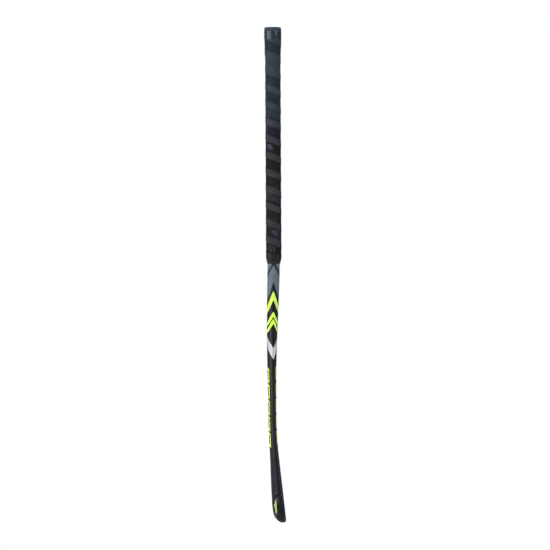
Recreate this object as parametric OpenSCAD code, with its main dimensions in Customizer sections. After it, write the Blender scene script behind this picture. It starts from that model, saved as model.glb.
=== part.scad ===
// Field hockey stick: a laid-up composite stick with a wound grip.
// +Z runs up out of the butt, +X out of the flat playing face, and the toe points along -Y.
// The origin is the centre of the butt end. All sizes are in millimetres.

/* [Stick] */
// Length from the butt end to the underside of the head
stick_length = 952.5; // [860:0.5:1020]
// Distance from the butt end to the lower end of the grip
grip_length = 455; // [330:1:520]
// Diameter of the bare handle
handle_d = 23.4; // [21:0.1:27]
// Width of the shaft and of the hook, across the playing face
shaft_w = 44; // [38:0.5:48]
// Thickness of the shaft at its thinnest
shaft_t = 15.8; // [14:0.1:20]
// Thickness of the head
head_t = 23.5; // [19:0.1:26]
// Wall of the outer laminate
laminate_wall = 2.2; // [1.6:0.1:3]

/* [Head] */
// Radius of the hook's middle line
hook_r = 37; // [33:0.5:42]
// Width of the hook at the toe
toe_w = 40; // [34:0.5:44]
// Length of the rounded toe tip
toe_tip = 20; // [14:0.5:26]
// Lean of the playing face, forwards of the handle, in degrees
face_lean = 6.4; // [3:0.1:8]
// Distance from the underside of the head to the start of the flat head face
face_height = 122.5; // [100:0.5:140]
// Height of the head face over the handle axis where the flat starts
face_rise = 8.4; // [5:0.1:11]
// Height of the playing face over the handle axis at the lowest point of the bow
bow_level = 3.9; // [2:0.1:7]
// Distance of the lowest point of the bow above the underside of the head
bow_height = 272.5; // [200:0.5:320]

/* [Inside] */
// Wall of the two inner tubes
tube_wall = 0.9; // [0.6:0.1:1.4]
// Thickness of the woven reinforcing ply inside the head
ply_t = 0.7; // [0.4:0.1:1.2]
// Length of the damper in the handle
damper_length = 22; // [12:1:40]
// Length of the foam plug in the handle
plug_length = 30; // [15:1:60]
// Gap between bonded pieces
bond_gap = 0.1; // [0.05:0.01:0.2]
// Gap all round the pieces that slide into the handle
slide_gap = 0.3; // [0.2:0.05:0.5]

/* [Butt end] */
// Step from the flared grip up to the cap and the top tape
cap_lip = 0.55; // [0.3:0.05:1]
// Height of the cap above the handle
cap_h = 7; // [6:0.5:12]
// Radius of the cap's upper rim
cap_rim_r = 3.2; // [2:0.1:4.5]
// Depth of the cap's spigot in the handle
spigot_depth = 26; // [15:1:40]
// Bore of the cap's hollow spigot
spigot_bore_d = 12; // [8:0.5:14]

/* [Grip] */
// Thickness of the cushioning underlay
underlay_t = 1; // [0.6:0.1:2]
// Extra thickness of the underlay where the grip flares at the butt
flare_t = 1.2; // [0.5:0.1:2.5]
// Length of the flare below the top tape
flare_length = 48; // [30:1:70]
// Thickness of the wound tape
tape_t = 1.9; // [1.2:0.1:2.4]
// Width of the top tape
top_tape_w = 17; // [10:0.5:25]
// Width of the lower end band
end_band_w = 19; // [12:0.5:25]

/* [Graphics] */
// Fall of the first lime chevron's arms, in millimetres for each degree round the section
arm_fall = 0.54; // [0.35:0.01:0.7]
// Fall of the other chevrons' arms, in millimetres for each degree
low_arm_fall = 0.38; // [0.25:0.01:0.45]
// Reach of the long arms round the section, in degrees from the toe-side edge
arm_reach = 130; // [100:10:150]
// Reach of the short arms, in degrees
short_reach = 90; // [60:10:90]
// Distance from the lower end of the grip to the first lime chevron
lime_start = 53; // [46:0.5:70]
// Distance from the first lime chevron to the second
lime_step = 39.8; // [32:0.5:55]
// Height of the first lime chevron
lime_h = 17; // [12:0.5:22]
// Height of the two lower lime chevrons
thin_lime_h = 9.6; // [7:0.1:11]
// Gap between the two lower lime chevrons
lime_gap = 4; // [2:0.1:5]
// Gap between the ends of the last lime chevron's arms and the silver chevron's arms
silver_clear = 2.3; // [1:0.1:12]
// Height of the silver chevron
silver_h = 21.7; // [15:0.5:26]
// Number of slanted bars along the back
bar_count = 5; // [3:1:6]
// Pitch of the slanted bars
bar_pitch = 31; // [26:0.5:34]
// Thickness of the transfer film
film_t = 0.2; // [0.1:0.05:0.3]

/* [Hidden] */
$fn = 96;

hook_start = stick_length - shaft_w / 2 - hook_r; // path length where the hook starts
hook_turn = 180;                                  // degrees from the shaft round to the toe
path_end = hook_start + hook_r * hook_turn * PI / 180;
hook_low = hook_start + hook_r * PI / 2;          // path length at the underside of the head
tube_end = stick_length - 152;                    // where the two inner tubes stop
core_start = stick_length - 148;                  // where the foam core and its ply start
face_start = stick_length - face_height;
bow_low = stick_length - bow_height;
blend_start = grip_length - 22;                   // where the handle starts to change section
blend_end = blend_start + 285;                    // where the shaft has its full width
face_split = 0.32;                                // share of the thickness on the face's side
face_fullness = 3;                                // squareness of the face's edges
back_fullness = 2.2;                              // squareness of the rounded back
hook_face_fullness = 4;                           // face_fullness at the hook
hook_back_fullness = 1.9;                         // back_fullness at the hook
face_gain = 1.1;                                  // widens the flat part of the face
ring_sides = 36;                                  // points round the outer laminate
cavity_r = handle_d / 2 - laminate_wall;
under_r = handle_d / 2 + bond_gap;
main_r = under_r + underlay_t + bond_gap + tape_t; // outside of the grip over the main run
flare_r = main_r + flare_t;                       // outside of the grip where it flares
cap_r = flare_r + cap_lip;
band_gap = 0.4;                                   // clears the start of the shaft's change of section
band_taper = 0.6;                                 // share of the band's width that tapers
band_round = 0.1;                                 // rounding at the top of the taper
band_edge = 0.4;                                  // thickness left at the band's lower edge
film_gap = 0.08;                                  // bond line under the transfer film
arm_ease = 400;                                   // degrees over which a chevron's arm eases off
arm_end = 0.8;                                    // height left at the end of an arm
toe_gap = 0.25;                                   // the same on the tightly curved toe

function ramp(a, b, v) = let (t = max(0, min(1, (v - a) / (b - a)))) t * t * (3 - 2 * t);
function mix(a, b, t) = a + (b - a) * t;
function steps(a, b, n) = [for (i = [0:n]) mix(a, b, i / n)];
function clip_power(v, p) = sign(v) * pow(abs(v), p);

// Height of the playing face over the handle axis, at depth d below the butt end.
function bow_face(d) =
    let (
        span = face_start - bow_low,
        t = max(0, min(1, (d - bow_low) / span)),
        rise = t * t * (3 - 2 * t),
        run_out = tan(face_lean) * span * (t * t * t - t * t)
    )
    mix(bow_level, face_rise, rise) + run_out;
function face_x(d) =
    d < bow_low ? mix(handle_d / 2, bow_level, ramp(blend_start, bow_low, d)) :
    d < face_start ? bow_face(d) :
    face_rise + tan(face_lean) * (d - face_start);

// Thickness of the stick at depth d.
function thick(d) =
    mix(handle_d, shaft_t, ramp(blend_start + 35, bow_low + 55, d))
    + (head_t - shaft_t) * ramp(stick_length - 162, stick_length - 22, d);

// Width across the face at path length s, before the tip rounds off.
function width(s) =
    s < hook_start ? mix(handle_d, shaft_w, ramp(blend_start, blend_end, s)) :
    mix(shaft_w, toe_w, ramp(hook_start + hook_r, path_end, s));

// Middle line in the YZ plane: point and outward normal at path length s.
function turn(s) = max(0, (s - hook_start) / hook_r * 180 / PI);
function middle(s) =
    let (a = turn(s))
    s < hook_start ? [0, -s] : [-hook_r * (1 - cos(a)), -hook_start - hook_r * sin(a)];
function outward(s) = let (a = turn(s)) [cos(a), -sin(a)];
function tip_scale(s, inset) =
    let (t = min(1, (path_end - inset - s) / (toe_tip - inset))) sqrt(max(0.01, 1 - (1 - t) * (1 - t)));

// How far the section has turned from the round handle to the full D.
function d_share(s) = ramp(blend_start + 20, blend_start + 265, s);
function face_full(s) = mix(face_fullness, hook_face_fullness, ramp(core_start, hook_low, s));
function back_full(s) = mix(back_fullness, hook_back_fullness, ramp(core_start, hook_low, s));

// Point on the stick's surface, inset by a distance (negative lifts it off the surface).
// a runs round the section: 0 outer or heel side, 90 face, 180 toe-side edge, 270 back.
function skin(s, a, inset) =
    let (
        f = d_share(s),
        k = tip_scale(s, inset),
        on_face = sin(a) > 0,
        fullness = mix(2, on_face ? face_full(s) : back_full(s), f),
        n = clip_power(cos(a), 2 / fullness) * (width(s) / 2 - inset) * k,
        lift = min(1, mix(1, on_face ? face_gain : 1, f) * pow(abs(sin(a)), 2 / fullness)),
        p = middle(s) + outward(s) * n,
        d = -p[1],
        split = mix(0.5, face_split, f),
        t = thick(d),
        mid = face_x(d) - split * t,
        half = (on_face ? split : 1 - split) * t - inset
    )
    [mid + (on_face ? 1 : -1) * lift * half * k, p[0], p[1]];
function ring(s, sides, inset) = [for (i = [0:sides - 1]) skin(s, i * 360 / sides, inset)];

// Half of the shaft's cavity, for an inner tube: side is 1 for the heel side, -1 for the toe side.
function tube_ring(s, side, inset) =
    let (
        sides = 18,
        web = side * (bond_gap + inset),
        arc = [for (i = [0:sides / 2 - 1]) skin(s, i * 20 + 10 - 90, laminate_wall + bond_gap + inset)],
        edge = [for (p = arc) [p[0], side * max(abs(p[1]), abs(web)), p[2]]],
        low = skin(s, 270, laminate_wall + bond_gap + inset),
        high = skin(s, 90, laminate_wall + bond_gap + inset),
        loop = concat([[low[0], web, low[2]]], edge, [[high[0], web, high[2]]])
    )
    side > 0 ? loop : [for (i = [len(loop) - 1:-1:0]) loop[i]];

function mean(points) =
    let (share = [for (p = points) 1 / len(points)])
    [for (k = [0:2]) [for (p = points) p[k]] * share];

// Closed solid through a list of rings, with a fan at each end.
module loft(rings) {
    n = len(rings[0]);
    m = len(rings);
    body = [for (r = rings) each r];
    points = concat(body, [mean(rings[0]), mean(rings[m - 1])]);
    sides = [for (j = [0:m - 2]) for (i = [0:n - 1])
        let (a = j * n + i, b = j * n + (i + 1) % n)
        each [[a, b, b + n], [a, b + n, a + n]]];
    first = [for (i = [0:n - 1]) [(i + 1) % n, i, m * n]];
    last = [for (i = [0:n - 1]) [(m - 1) * n + i, (m - 1) * n + (i + 1) % n, m * n + 1]];
    polyhedron(points, concat(sides, first, last), convexity = 8);
}

// Closed solid between an outer grid and an inner grid of points. window, if given, is left open:
// its first and last column and its first and last row.
module slab(outer, inner, window = [0, 0, 0, 0]) {
    m = len(outer);
    n = len(outer[0]);
    points = concat([for (r = outer) each r], [for (r = inner) each r]);
    k = m * n;
    c0 = window[0];
    c1 = window[1];
    r0 = window[2];
    r1 = window[3];
    quads = [for (j = [0:m - 2]) for (i = [0:n - 2])
        if (i < c0 || i >= c1 || j < r0 || j >= r1)
            [j * n + i, j * n + i + 1, j * n + n + i + 1, j * n + n + i]];
    rim = concat(
        [for (i = [0:n - 2]) [i, i + 1]],
        [for (j = [0:m - 2]) [j * n + n - 1, j * n + 2 * n - 1]],
        [for (i = [n - 1:-1:1]) [(m - 1) * n + i, (m - 1) * n + i - 1]],
        [for (j = [m - 1:-1:1]) [j * n, (j - 1) * n]],
        [if (c1 > c0) for (i = [c0:c1 - 1])
            each [[r0 * n + i + 1, r0 * n + i], [r1 * n + i, r1 * n + i + 1]]],
        [if (r1 > r0) for (j = [r0:r1 - 1])
            each [[j * n + c0, (j + 1) * n + c0], [(j + 1) * n + c1, j * n + c1]]]
    );
    top = [for (q = quads) each [[q[0], q[1], q[2]], [q[0], q[2], q[3]]]];
    under = [for (f = top) [f[2] + k, f[1] + k, f[0] + k]];
    wall = [for (e = rim) each [[e[1], e[0], e[0] + k], [e[1], e[0] + k, e[1] + k]]];
    polyhedron(points, concat(top, under, wall), convexity = 4);
}

// Film on the skin: angles round the section, and for each the two path lengths it lies between.
module film(angles, from, to, rows = 1, gap = film_gap, window = [0, 0, 0, 0]) {
    columns = [0:len(angles) - 1];
    inner = [for (j = [0:rows]) [for (i = columns) skin(mix(from[i], to[i], j / rows), angles[i], -gap)]];
    outer = [for (j = [0:rows]) [for (i = columns)
        skin(mix(from[i], to[i], j / rows), angles[i], -gap - film_t)]];
    slab(outer, inner, window);
}

// Chevron over the toe-side edge: apex at path length s, height h, arms falling by fall a degree
// and easing off as they reach round. A larger taper keeps them tall for longer.
function arm(fall, v) = fall * v * (1 - v / arm_ease);
module chevron(s, h, fall, reach, taper) {
    angles = [for (a = [180 - reach:10:180 + reach]) a];
    away = [for (a = angles) abs(a - 180)];
    top = [for (v = away) s + arm(fall, v)];
    tall = [for (v = away) max(arm_end, h * (1 - pow(v / reach, taper)))];
    film(angles, top, top + tall);
}

// Path lengths of the rings inside the shaft, and of those inside the head, which end at the toe.
function shaft_path(from) = concat([from, grip_length / 2], steps(blend_start, tube_end, 15));
function head_path(inset) =
    let (bend_end = path_end - toe_tip)
    concat(
        steps(core_start, hook_start, 5),
        [for (i = [1:6]) mix(hook_start, hook_low, i / 6)],
        [for (i = [1:5]) mix(hook_low, bend_end, i / 5)],
        [for (i = [1:3]) bend_end + (toe_tip - inset) * sin(i * 27)]
    );

module outer_laminate() {
    head_from = stick_length - 120;
    bend_end = path_end - toe_tip;
    outside = concat(
        [cap_h, grip_length / 2],
        steps(blend_start, head_from, 25),
        [for (i = [1:8]) mix(head_from, hook_start, i / 8)],
        [for (i = [1:15]) mix(hook_start, hook_low, i / 15)],
        [for (i = [1:11]) mix(hook_low, bend_end, i / 11)],
        [for (i = [1:8]) bend_end + toe_tip * sin(i * 11.1)]
    );
    inside = concat(shaft_path(cap_h), head_path(laminate_wall));
    color("#24252a")
    loft(concat(
        [for (i = [len(inside) - 1:-1:0]) ring(inside[i], ring_sides, laminate_wall)],
        [for (s = outside) ring(s, ring_sides, 0)]
    ));
}

module inner_tube(side) {
    stations = shaft_path(cap_h + spigot_depth + damper_length + plug_length + 4);
    loft(concat(
        [for (i = [len(stations) - 1:-1:0]) tube_ring(stations[i], side, tube_wall)],
        [for (s = stations) tube_ring(s, side, 0)]
    ));
}
module heel_side_tube() {
    color("#3a3b40") inner_tube(1);
}
module toe_side_tube() {
    color("#3a3b40") inner_tube(-1);
}

module head_ply() {
    outer = laminate_wall + bond_gap;
    inner = outer + ply_t;
    out_path = head_path(outer);
    in_path = head_path(inner);
    color("#c9a93a")
    loft(concat(
        [for (i = [len(in_path) - 1:-1:0]) ring(in_path[i], ring_sides, inner)],
        [for (s = out_path) ring(s, ring_sides, outer)]
    ));
}
module head_foam_core() {
    inset = laminate_wall + ply_t + 2 * bond_gap;
    color("#d8d2b8") loft([for (s = head_path(inset)) ring(s, ring_sides, inset)]);
}

module handle_foam_plug() {
    from = cap_h + spigot_depth + damper_length + 2;
    color("#cfc9b0")
    translate([0, 0, -from - plug_length]) cylinder(h = plug_length, r = cavity_r - slide_gap);
}
module handle_damper() {
    from = cap_h + spigot_depth + 1;
    groove = 1.2;
    ribs = 3;
    pitch = damper_length / ribs;
    color("#5a5a60")
    translate([0, 0, -from - damper_length])
    difference() {
        cylinder(h = damper_length, r = cavity_r - slide_gap);
        for (i = [1:ribs - 1]) translate([0, 0, i * pitch - groove])
            difference() {
                cylinder(h = 2 * groove, r = cavity_r + 1);
                cylinder(h = 2 * groove, r = cavity_r - slide_gap - groove);
            }
    }
}

module butt_cap() {
    arc = [for (a = [0:15:90]) [cap_r - cap_rim_r + cap_rim_r * sin(a), -cap_rim_r + cap_rim_r * cos(a)]];
    color("#3d434c")
    difference() {
        union() {
            rotate_extrude() polygon(concat([[0, 0]], arc, [[cap_r, -cap_h], [0, -cap_h]]));
            translate([0, 0, -cap_h - spigot_depth]) cylinder(h = spigot_depth + 1, r = cavity_r - slide_gap);
        }
        translate([0, 0, -cap_h - spigot_depth - 1]) cylinder(h = spigot_depth, d = spigot_bore_d);
    }
}

// Outside radius of the wound grip at depth d.
function grip_r(d) =
    mix(flare_r, main_r, ramp(cap_h + top_tape_w, cap_h + top_tape_w + flare_length, d));
grip_depths = concat(
    [cap_h + bond_gap],
    steps(cap_h + top_tape_w, cap_h + top_tape_w + flare_length, 8),
    [grip_length - end_band_w - bond_gap]
);

module grip_underlay() {
    outside = [for (d = grip_depths) [grip_r(d) - tape_t - bond_gap, -d]];
    low = -grip_depths[len(grip_depths) - 1];
    color("#4b4d52")
    rotate_extrude() polygon(concat([[under_r, low], [under_r, -grip_depths[0]]], outside));
}
module grip_tape() {
    outside = [for (d = grip_depths) [grip_r(d), -d]];
    inside = [for (i = [len(grip_depths) - 1:-1:0]) [grip_r(grip_depths[i]) - tape_t, -grip_depths[i]]];
    color("#2d3036") rotate_extrude() polygon(concat(outside, inside));
}
module top_tape() {
    r_in = flare_r + bond_gap / 2;
    high = cap_h + bond_gap;
    low = cap_h + top_tape_w;
    color("#454d57")
    translate([0, 0, -low])
    difference() {
        cylinder(h = low - high, r = cap_r);
        translate([0, 0, -1]) cylinder(h = low - high + 2, r = r_in);
    }
}
module lower_end_band() {
    r_in = handle_d / 2 + band_gap;
    r_low = r_in + band_edge;
    drop = end_band_w * band_taper;
    low = -grip_length;
    cone = [for (t = steps(1, 0, 8))
        [r_low + (main_r - r_low) * ((1 + band_round) * t - band_round * pow(t, 6)), low + drop * t]];
    square_end = [[r_in, low], [r_in, low + end_band_w], [main_r, low + end_band_w]];
    color("#25262a") rotate_extrude() polygon(concat(square_end, cone));
}

lime_s = grip_length + lime_start;
low_lime_s = lime_s + lime_step + thin_lime_h + lime_gap;
silver_s = low_lime_s + 2 * arm(low_arm_fall, short_reach) + arm_end + silver_clear;
bars_from = silver_s + 36;                        // where the slanted frames start
bar = bar_pitch * 0.88;                           // length of one frame
bar_slant = 8;                                    // rise across one frame
bar_rows = 7;                                     // rows in one frame; the outline is one row wide
grey_s = grip_length + 2.5;                       // apex of the grey chevron
grey_top_fall = 0.42;                             // fall of its upper edge, a degree
grey_low_fall = 0.62;                             // fall of its lower edge, a degree
grey_lime_gap = 17.5;                             // from its notch to the first lime chevron
dark_gap = 8.5;                                   // height of the bare band above it
wing_from = 20;                                   // degrees from the toe-side edge
module grey_chevron() {
    angles = [for (a = [180 - arm_reach:10:180 + arm_reach]) a];
    top = [for (a = angles) grey_s + arm(grey_top_fall, abs(a - 180))];
    low = [for (a = angles) lime_s - grey_lime_gap + arm(grey_low_fall, abs(a - 180))];
    color("#5f6b77") film(angles, top, low, 4);
}
module grey_wings() {
    reach = [wing_from:10:arm_reach];
    for (side = [-1, 1]) {
        angles = [for (v = reach) side > 0 ? 180 + v : 180 - arm_reach + v - wing_from];
        top = [for (a = angles) grip_length + 1];
        low = [for (a = angles) grey_s - dark_gap + arm(grey_top_fall, abs(a - 180))];
        color("#5f6b77") film(angles, top, low, 4);
    }
}
module upper_lime_chevron() {
    color("#c8ff3c") chevron(lime_s, lime_h, arm_fall, arm_reach, 2);
}
module middle_lime_chevron() {
    color("#c8ff3c") chevron(lime_s + lime_step, thin_lime_h, low_arm_fall, short_reach, 3);
}
module lower_lime_chevron() {
    color("#c8ff3c") chevron(low_lime_s, thin_lime_h, low_arm_fall, short_reach, 3);
}
module silver_chevron() {
    color("#c8cdd4") chevron(silver_s, silver_h, -low_arm_fall, short_reach, 4);
}

// One open slanted frame on the back, its upper edge starting at path length s.
module back_frame(s) {
    angles = [227, 230, 234, 240, 250, 260, 270, 280, 290, 300, 306, 310, 313];
    top = [for (a = angles) s + bar_slant * (270 - a) / 86];
    film(angles, top, [for (v = top) v + bar], bar_rows, film_gap, [2, 10, 1, bar_rows - 1]);
}
module back_bars() {
    color("#c8ff3c") for (i = [0:bar_count - 1]) back_frame(bars_from + i * bar_pitch);
}
module face_strips() {
    angles = [110, 120, 130, 140, 144];
    color("#c8ff3c")
    for (i = [0:bar_count - 1]) {
        s = bars_from + i * bar_pitch;
        film(angles, [for (a = angles) s], [for (a = angles) s + bar_pitch * 0.8], 3);
    }
}
// Toe transfers, placed by the distance back along the hook from the toe.
module toe_flash() {
    near = [[310, 17], [317, 13], [321, 7.5], [327, 10.5], [330, 14]];
    far = [[310, 19.5], [314, 22], [316, 30.5], [328, 29.5], [330, 22]];
    angles = [310, 312, 314, 314.5, 315, 315.5, 316, 318, 320, 321, 323, 325, 327, 328, 329, 330];
    top = [for (a = angles) path_end - lookup(a, near)];
    low = [for (a = angles) path_end - lookup(a, far)];
    color("#b4d850") film(angles, low, top, 8, toe_gap);
}
module toe_patch() {
    top = [for (v = [32, 31.5, 31.5, 32]) path_end - v];
    low = [for (v = [35, 36, 36, 35]) path_end - v];
    color("#787d85") film([315, 318, 320, 324], low, top, 4, toe_gap);
}

outer_laminate();
heel_side_tube();
toe_side_tube();
head_ply();
head_foam_core();
handle_foam_plug();
handle_damper();
butt_cap();
grip_underlay();
grip_tape();
top_tape();
lower_end_band();
grey_chevron();
grey_wings();
upper_lime_chevron();
middle_lime_chevron();
lower_lime_chevron();
silver_chevron();
back_bars();
face_strips();
toe_flash();
toe_patch();
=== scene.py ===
"""Looks of a composite field hockey stick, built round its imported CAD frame, in metres."""
import logging
import math
from dataclasses import dataclass
from enum import Enum
from typing import Sequence

import bmesh
import bpy
import numpy as np
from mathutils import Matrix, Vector


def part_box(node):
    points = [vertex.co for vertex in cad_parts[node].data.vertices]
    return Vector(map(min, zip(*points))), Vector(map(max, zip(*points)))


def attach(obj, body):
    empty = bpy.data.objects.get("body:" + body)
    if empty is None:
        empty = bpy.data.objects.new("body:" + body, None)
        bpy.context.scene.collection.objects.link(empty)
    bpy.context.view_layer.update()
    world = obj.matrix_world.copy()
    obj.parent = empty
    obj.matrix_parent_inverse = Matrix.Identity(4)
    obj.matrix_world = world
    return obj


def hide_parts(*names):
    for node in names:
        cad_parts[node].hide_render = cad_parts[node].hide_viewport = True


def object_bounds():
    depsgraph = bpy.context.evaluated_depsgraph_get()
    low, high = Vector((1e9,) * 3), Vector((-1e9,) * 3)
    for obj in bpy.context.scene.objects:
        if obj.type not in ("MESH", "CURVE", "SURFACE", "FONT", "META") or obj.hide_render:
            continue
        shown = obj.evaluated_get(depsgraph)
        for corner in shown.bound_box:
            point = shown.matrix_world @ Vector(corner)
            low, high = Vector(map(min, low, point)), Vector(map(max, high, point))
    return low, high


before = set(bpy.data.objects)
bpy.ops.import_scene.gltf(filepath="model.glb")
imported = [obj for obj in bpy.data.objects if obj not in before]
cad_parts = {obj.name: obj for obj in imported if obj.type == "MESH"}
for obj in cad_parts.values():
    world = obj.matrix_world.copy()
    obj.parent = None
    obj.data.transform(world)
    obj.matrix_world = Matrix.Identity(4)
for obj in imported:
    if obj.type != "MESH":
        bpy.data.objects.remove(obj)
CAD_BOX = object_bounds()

LOG = logging.getLogger("stick")
BODY = "root"
MM = 0.001
TURN = 2 * math.pi
SHARP = math.radians(38)  # faces that meet at more than this angle keep a hard edge
Colour = tuple[float, float, float]
Pair = tuple[np.ndarray, np.ndarray]
Object, Material = bpy.types.Object, bpy.types.Material
Node, Socket, Tree = bpy.types.Node, bpy.types.NodeSocket, bpy.types.NodeTree
BARE: Colour = (0.05, 0.05, 0.055)  # where the lacquer or the ink is rubbed away


# ---------------------------------------------------------------- shapes

def ramp(low: float, high: float, value: np.ndarray) -> np.ndarray:
    """Smooth step from 0 at low to 1 at high.

    Args:
        low: Value where the step starts.
        high: Value where the step ends.
        value: Values to step.

    Returns:
        The step at each value.
    """
    t = np.clip((value - low) / (high - low), 0, 1)
    return t * t * (3 - 2 * t)


@dataclass(frozen=True)
class StickForm:
    """The stick's own surface: sizes in metres and the functions that follow them."""

    length: float
    grip_length: float
    handle_d: float = 23.4 * MM
    shaft_w: float = 44 * MM
    shaft_t: float = 15.8 * MM
    head_t: float = 23.5 * MM
    hook_r: float = 37 * MM
    toe_w: float = 40 * MM
    toe_tip: float = 20 * MM
    face_lean: float = math.radians(6.4)
    face_height: float = 122.5 * MM
    face_rise: float = 8.4 * MM
    bow_level: float = 3.9 * MM
    bow_height: float = 272.5 * MM
    face_split: float = 0.32
    face_fullness: float = 3.0
    back_fullness: float = 2.2
    hook_face_fullness: float = 4.0
    hook_back_fullness: float = 1.9
    face_gain: float = 1.1

    @property
    def hook_start(self) -> float:
        """Path length where the shaft turns into the hook."""
        return self.length - self.shaft_w / 2 - self.hook_r

    @property
    def path_end(self) -> float:
        """Path length at the toe."""
        return self.hook_start + self.hook_r * math.pi

    @property
    def blend_start(self) -> float:
        """Path length where the round handle starts to change section."""
        return self.grip_length - 22 * MM

    def face_x(self, d: np.ndarray) -> np.ndarray:
        """Height of the playing face over the handle axis.

        Args:
            d: Depths below the butt end.

        Returns:
            The x of the face at each depth.
        """
        face_start = self.length - self.face_height
        bow_low = self.length - self.bow_height
        span = face_start - bow_low
        t = np.clip((d - bow_low) / span, 0, 1)
        rise = t * t * (3 - 2 * t)
        run_out = math.tan(self.face_lean) * span * (t**3 - t**2)
        bow = self.bow_level + (self.face_rise - self.bow_level) * rise + run_out
        shaft = self.handle_d / 2 + (self.bow_level - self.handle_d / 2) * ramp(self.blend_start, bow_low, d)
        head = self.face_rise + math.tan(self.face_lean) * (d - face_start)
        return np.where(d < bow_low, shaft, np.where(d < face_start, bow, head))

    def thick(self, d: np.ndarray) -> np.ndarray:
        """Thickness of the stick at each depth d below the butt end."""
        bow_low = self.length - self.bow_height
        thin = ramp(self.blend_start + 35 * MM, bow_low + 55 * MM, d)
        swell = ramp(self.length - 162 * MM, self.length - 22 * MM, d)
        return self.handle_d + (self.shaft_t - self.handle_d) * thin + (self.head_t - self.shaft_t) * swell

    def width(self, s: np.ndarray) -> np.ndarray:
        """Width across the face at each path length s."""
        shaft = self.handle_d + (self.shaft_w - self.handle_d) * ramp(self.blend_start, self.blend_start + 285 * MM, s)
        hook = self.shaft_w + (self.toe_w - self.shaft_w) * ramp(self.hook_start + self.hook_r, self.path_end, s)
        return np.where(s < self.hook_start, shaft, hook)

    def skin(self, s: np.ndarray, angle: np.ndarray, inset: float) -> np.ndarray:
        """Points on the surface.

        Args:
            s: Path lengths from the butt end.
            angle: Degrees round the section: 0 heel side, 90 face, 180 toe-side edge, 270 back.
            inset: Distance into the wall; a negative one lifts the points off the surface.

        Returns:
            An array of points with the shape of s and angle broadcast together, and a last axis of 3.
        """
        s, angle = np.broadcast_arrays(np.asarray(s, float), np.asarray(angle, float))
        a = np.radians(angle)
        share = ramp(self.blend_start + 20 * MM, self.blend_start + 265 * MM, s)
        t = np.minimum(1, (self.path_end - inset - s) / (self.toe_tip - inset))
        tip = np.sqrt(np.maximum(0.0004, 1 - (1 - t) ** 2))
        on_face = np.sin(a) > 0
        hook = ramp(self.length - 148 * MM, self.hook_start + self.hook_r * math.pi / 2, s)
        face_full = self.face_fullness + (self.hook_face_fullness - self.face_fullness) * hook
        back_full = self.back_fullness + (self.hook_back_fullness - self.back_fullness) * hook
        full = 2 + (np.where(on_face, face_full, back_full) - 2) * share
        across = np.sign(np.cos(a)) * np.abs(np.cos(a)) ** (2 / full)
        across = across * (self.width(s) / 2 - inset) * tip
        gain = np.where(on_face, 1 + (self.face_gain - 1) * share, 1)
        lift = np.minimum(1, gain * np.abs(np.sin(a)) ** (2 / full))
        turned = np.maximum(0, (s - self.hook_start) / self.hook_r)
        on_shaft = s < self.hook_start
        y = np.where(on_shaft, 0, -self.hook_r * (1 - np.cos(turned))) + np.cos(turned) * across
        z = np.where(on_shaft, -s, -self.hook_start - self.hook_r * np.sin(turned)) - np.sin(turned) * across
        split = 0.5 + (self.face_split - 0.5) * share
        thick = self.thick(-z)
        half = np.where(on_face, split, 1 - split) * thick - inset
        x = self.face_x(-z) - split * thick + np.where(on_face, 1, -1) * lift * half * tip
        return np.stack([x, y, z], axis=-1)


def make_object(name: str, points: np.ndarray, faces: Sequence[Sequence[int]]) -> Object:
    """Links a smooth-shaded mesh object whose normals point outwards.

    Args:
        name: Name of the piece.
        points: Its vertices, one row each.
        faces: Its faces, as vertex numbers.

    Returns:
        The new object.
    """
    mesh = bpy.data.meshes.new(name)
    mesh.from_pydata([tuple(p) for p in points], [], [tuple(f) for f in faces])
    mesh.validate()
    made = bpy.data.objects.new(name, mesh)
    bpy.context.scene.collection.objects.link(made)
    shell = bmesh.new()
    shell.from_mesh(mesh)
    bmesh.ops.recalc_face_normals(shell, faces=shell.faces)
    shell.to_mesh(mesh)
    shell.free()
    mesh.shade_smooth()
    mesh.set_sharp_from_angle(angle=SHARP)
    return made


def loft_faces(rings: int, sides: int) -> list[tuple[int, ...]]:
    """Quads between closed rings of points, with a fan to an extra point at each end.

    Args:
        rings: Number of rings.
        sides: Points in each ring.

    Returns:
        The faces; the two extra points come after the rings' own.
    """
    faces = [
        (j * sides + i, j * sides + (i + 1) % sides, (j + 1) * sides + (i + 1) % sides, (j + 1) * sides + i)
        for j in range(rings - 1)
        for i in range(sides)
    ]
    last = (rings - 1) * sides
    faces += [((i + 1) % sides, i, rings * sides) for i in range(sides)]
    faces += [(last + i, last + (i + 1) % sides, rings * sides + 1) for i in range(sides)]
    return faces


def loft(name: str, rings: np.ndarray) -> Object:
    """A closed solid through rings of points, given as an array of rings, points and coordinates."""
    count, sides, _ = rings.shape
    points = np.concatenate([rings.reshape(-1, 3), [rings[0].mean(0), rings[-1].mean(0)]])
    return make_object(name, points, loft_faces(count, sides))


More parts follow.
